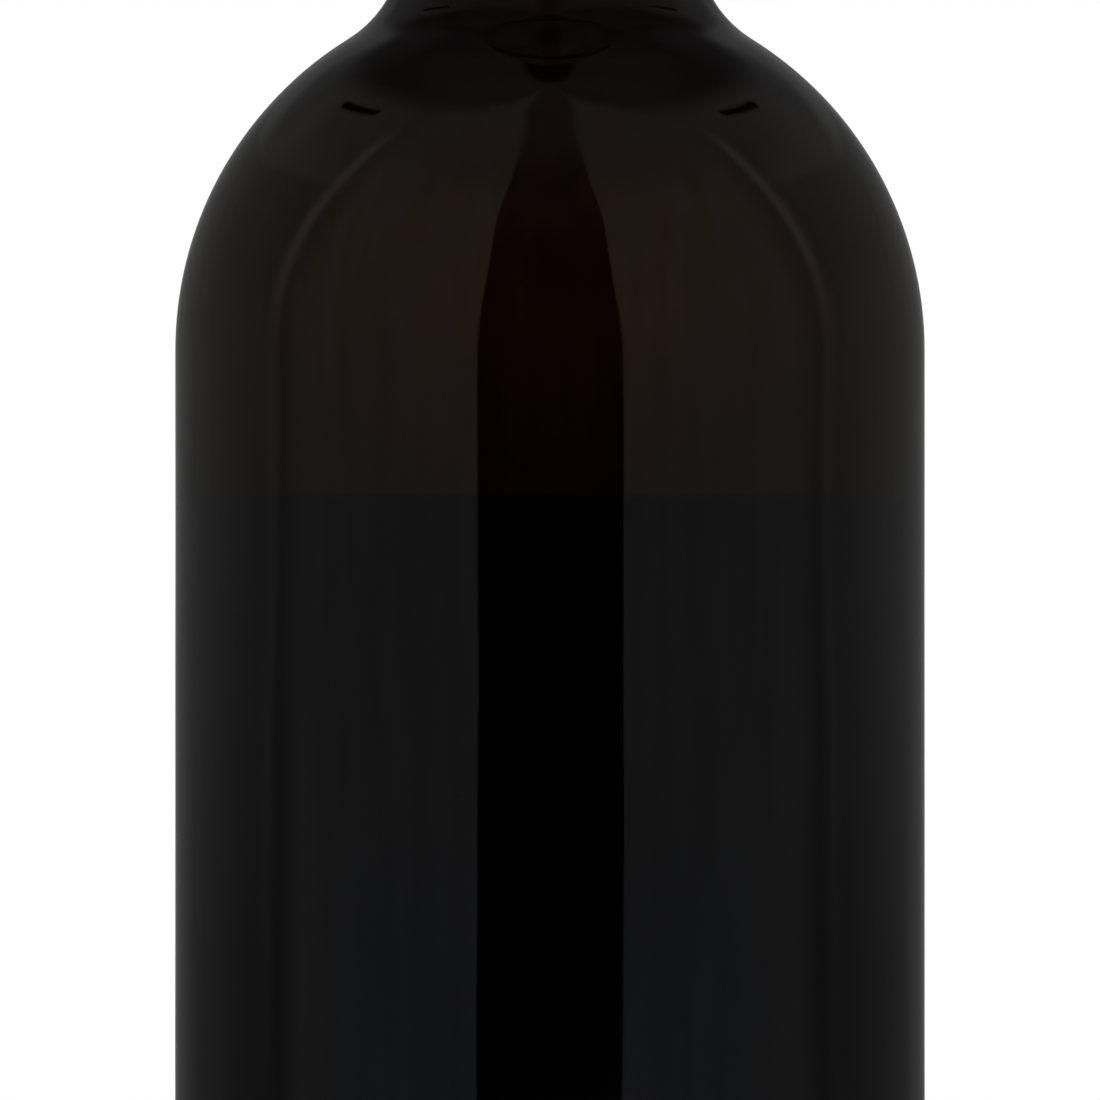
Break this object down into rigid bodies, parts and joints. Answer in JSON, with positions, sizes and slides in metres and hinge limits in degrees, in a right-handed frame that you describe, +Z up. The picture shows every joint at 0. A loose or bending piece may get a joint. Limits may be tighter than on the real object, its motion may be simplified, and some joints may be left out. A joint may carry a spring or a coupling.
{
  "type": "whisky bottle",
  "caption": "Round-shouldered spirit bottle in dark amber glass, part full of whisky and closed by a cork stopper; holds, keeps and pours the drink.",
  "frame": {"origin": "centre of the base, on the plane that the bottle stands on", "axes": "+Z up along the bottle's axis; the bottle is round, so X and Y are any two directions across it, and -Y is the side seen in front"},
  "size_m": [0.084, 0.084, 0.2353],
  "materials": {
    "dark_glass": "polished",
    "whisky": "gloss",
    "cork": "matte",
    "stained_wood": "satin"
  },
  "bodies": {
    "root": {"bottle": "dark_glass", "whisky": "whisky", "cork": "cork", "stopper_top": "stained_wood"}
  },
  "joints": []
}
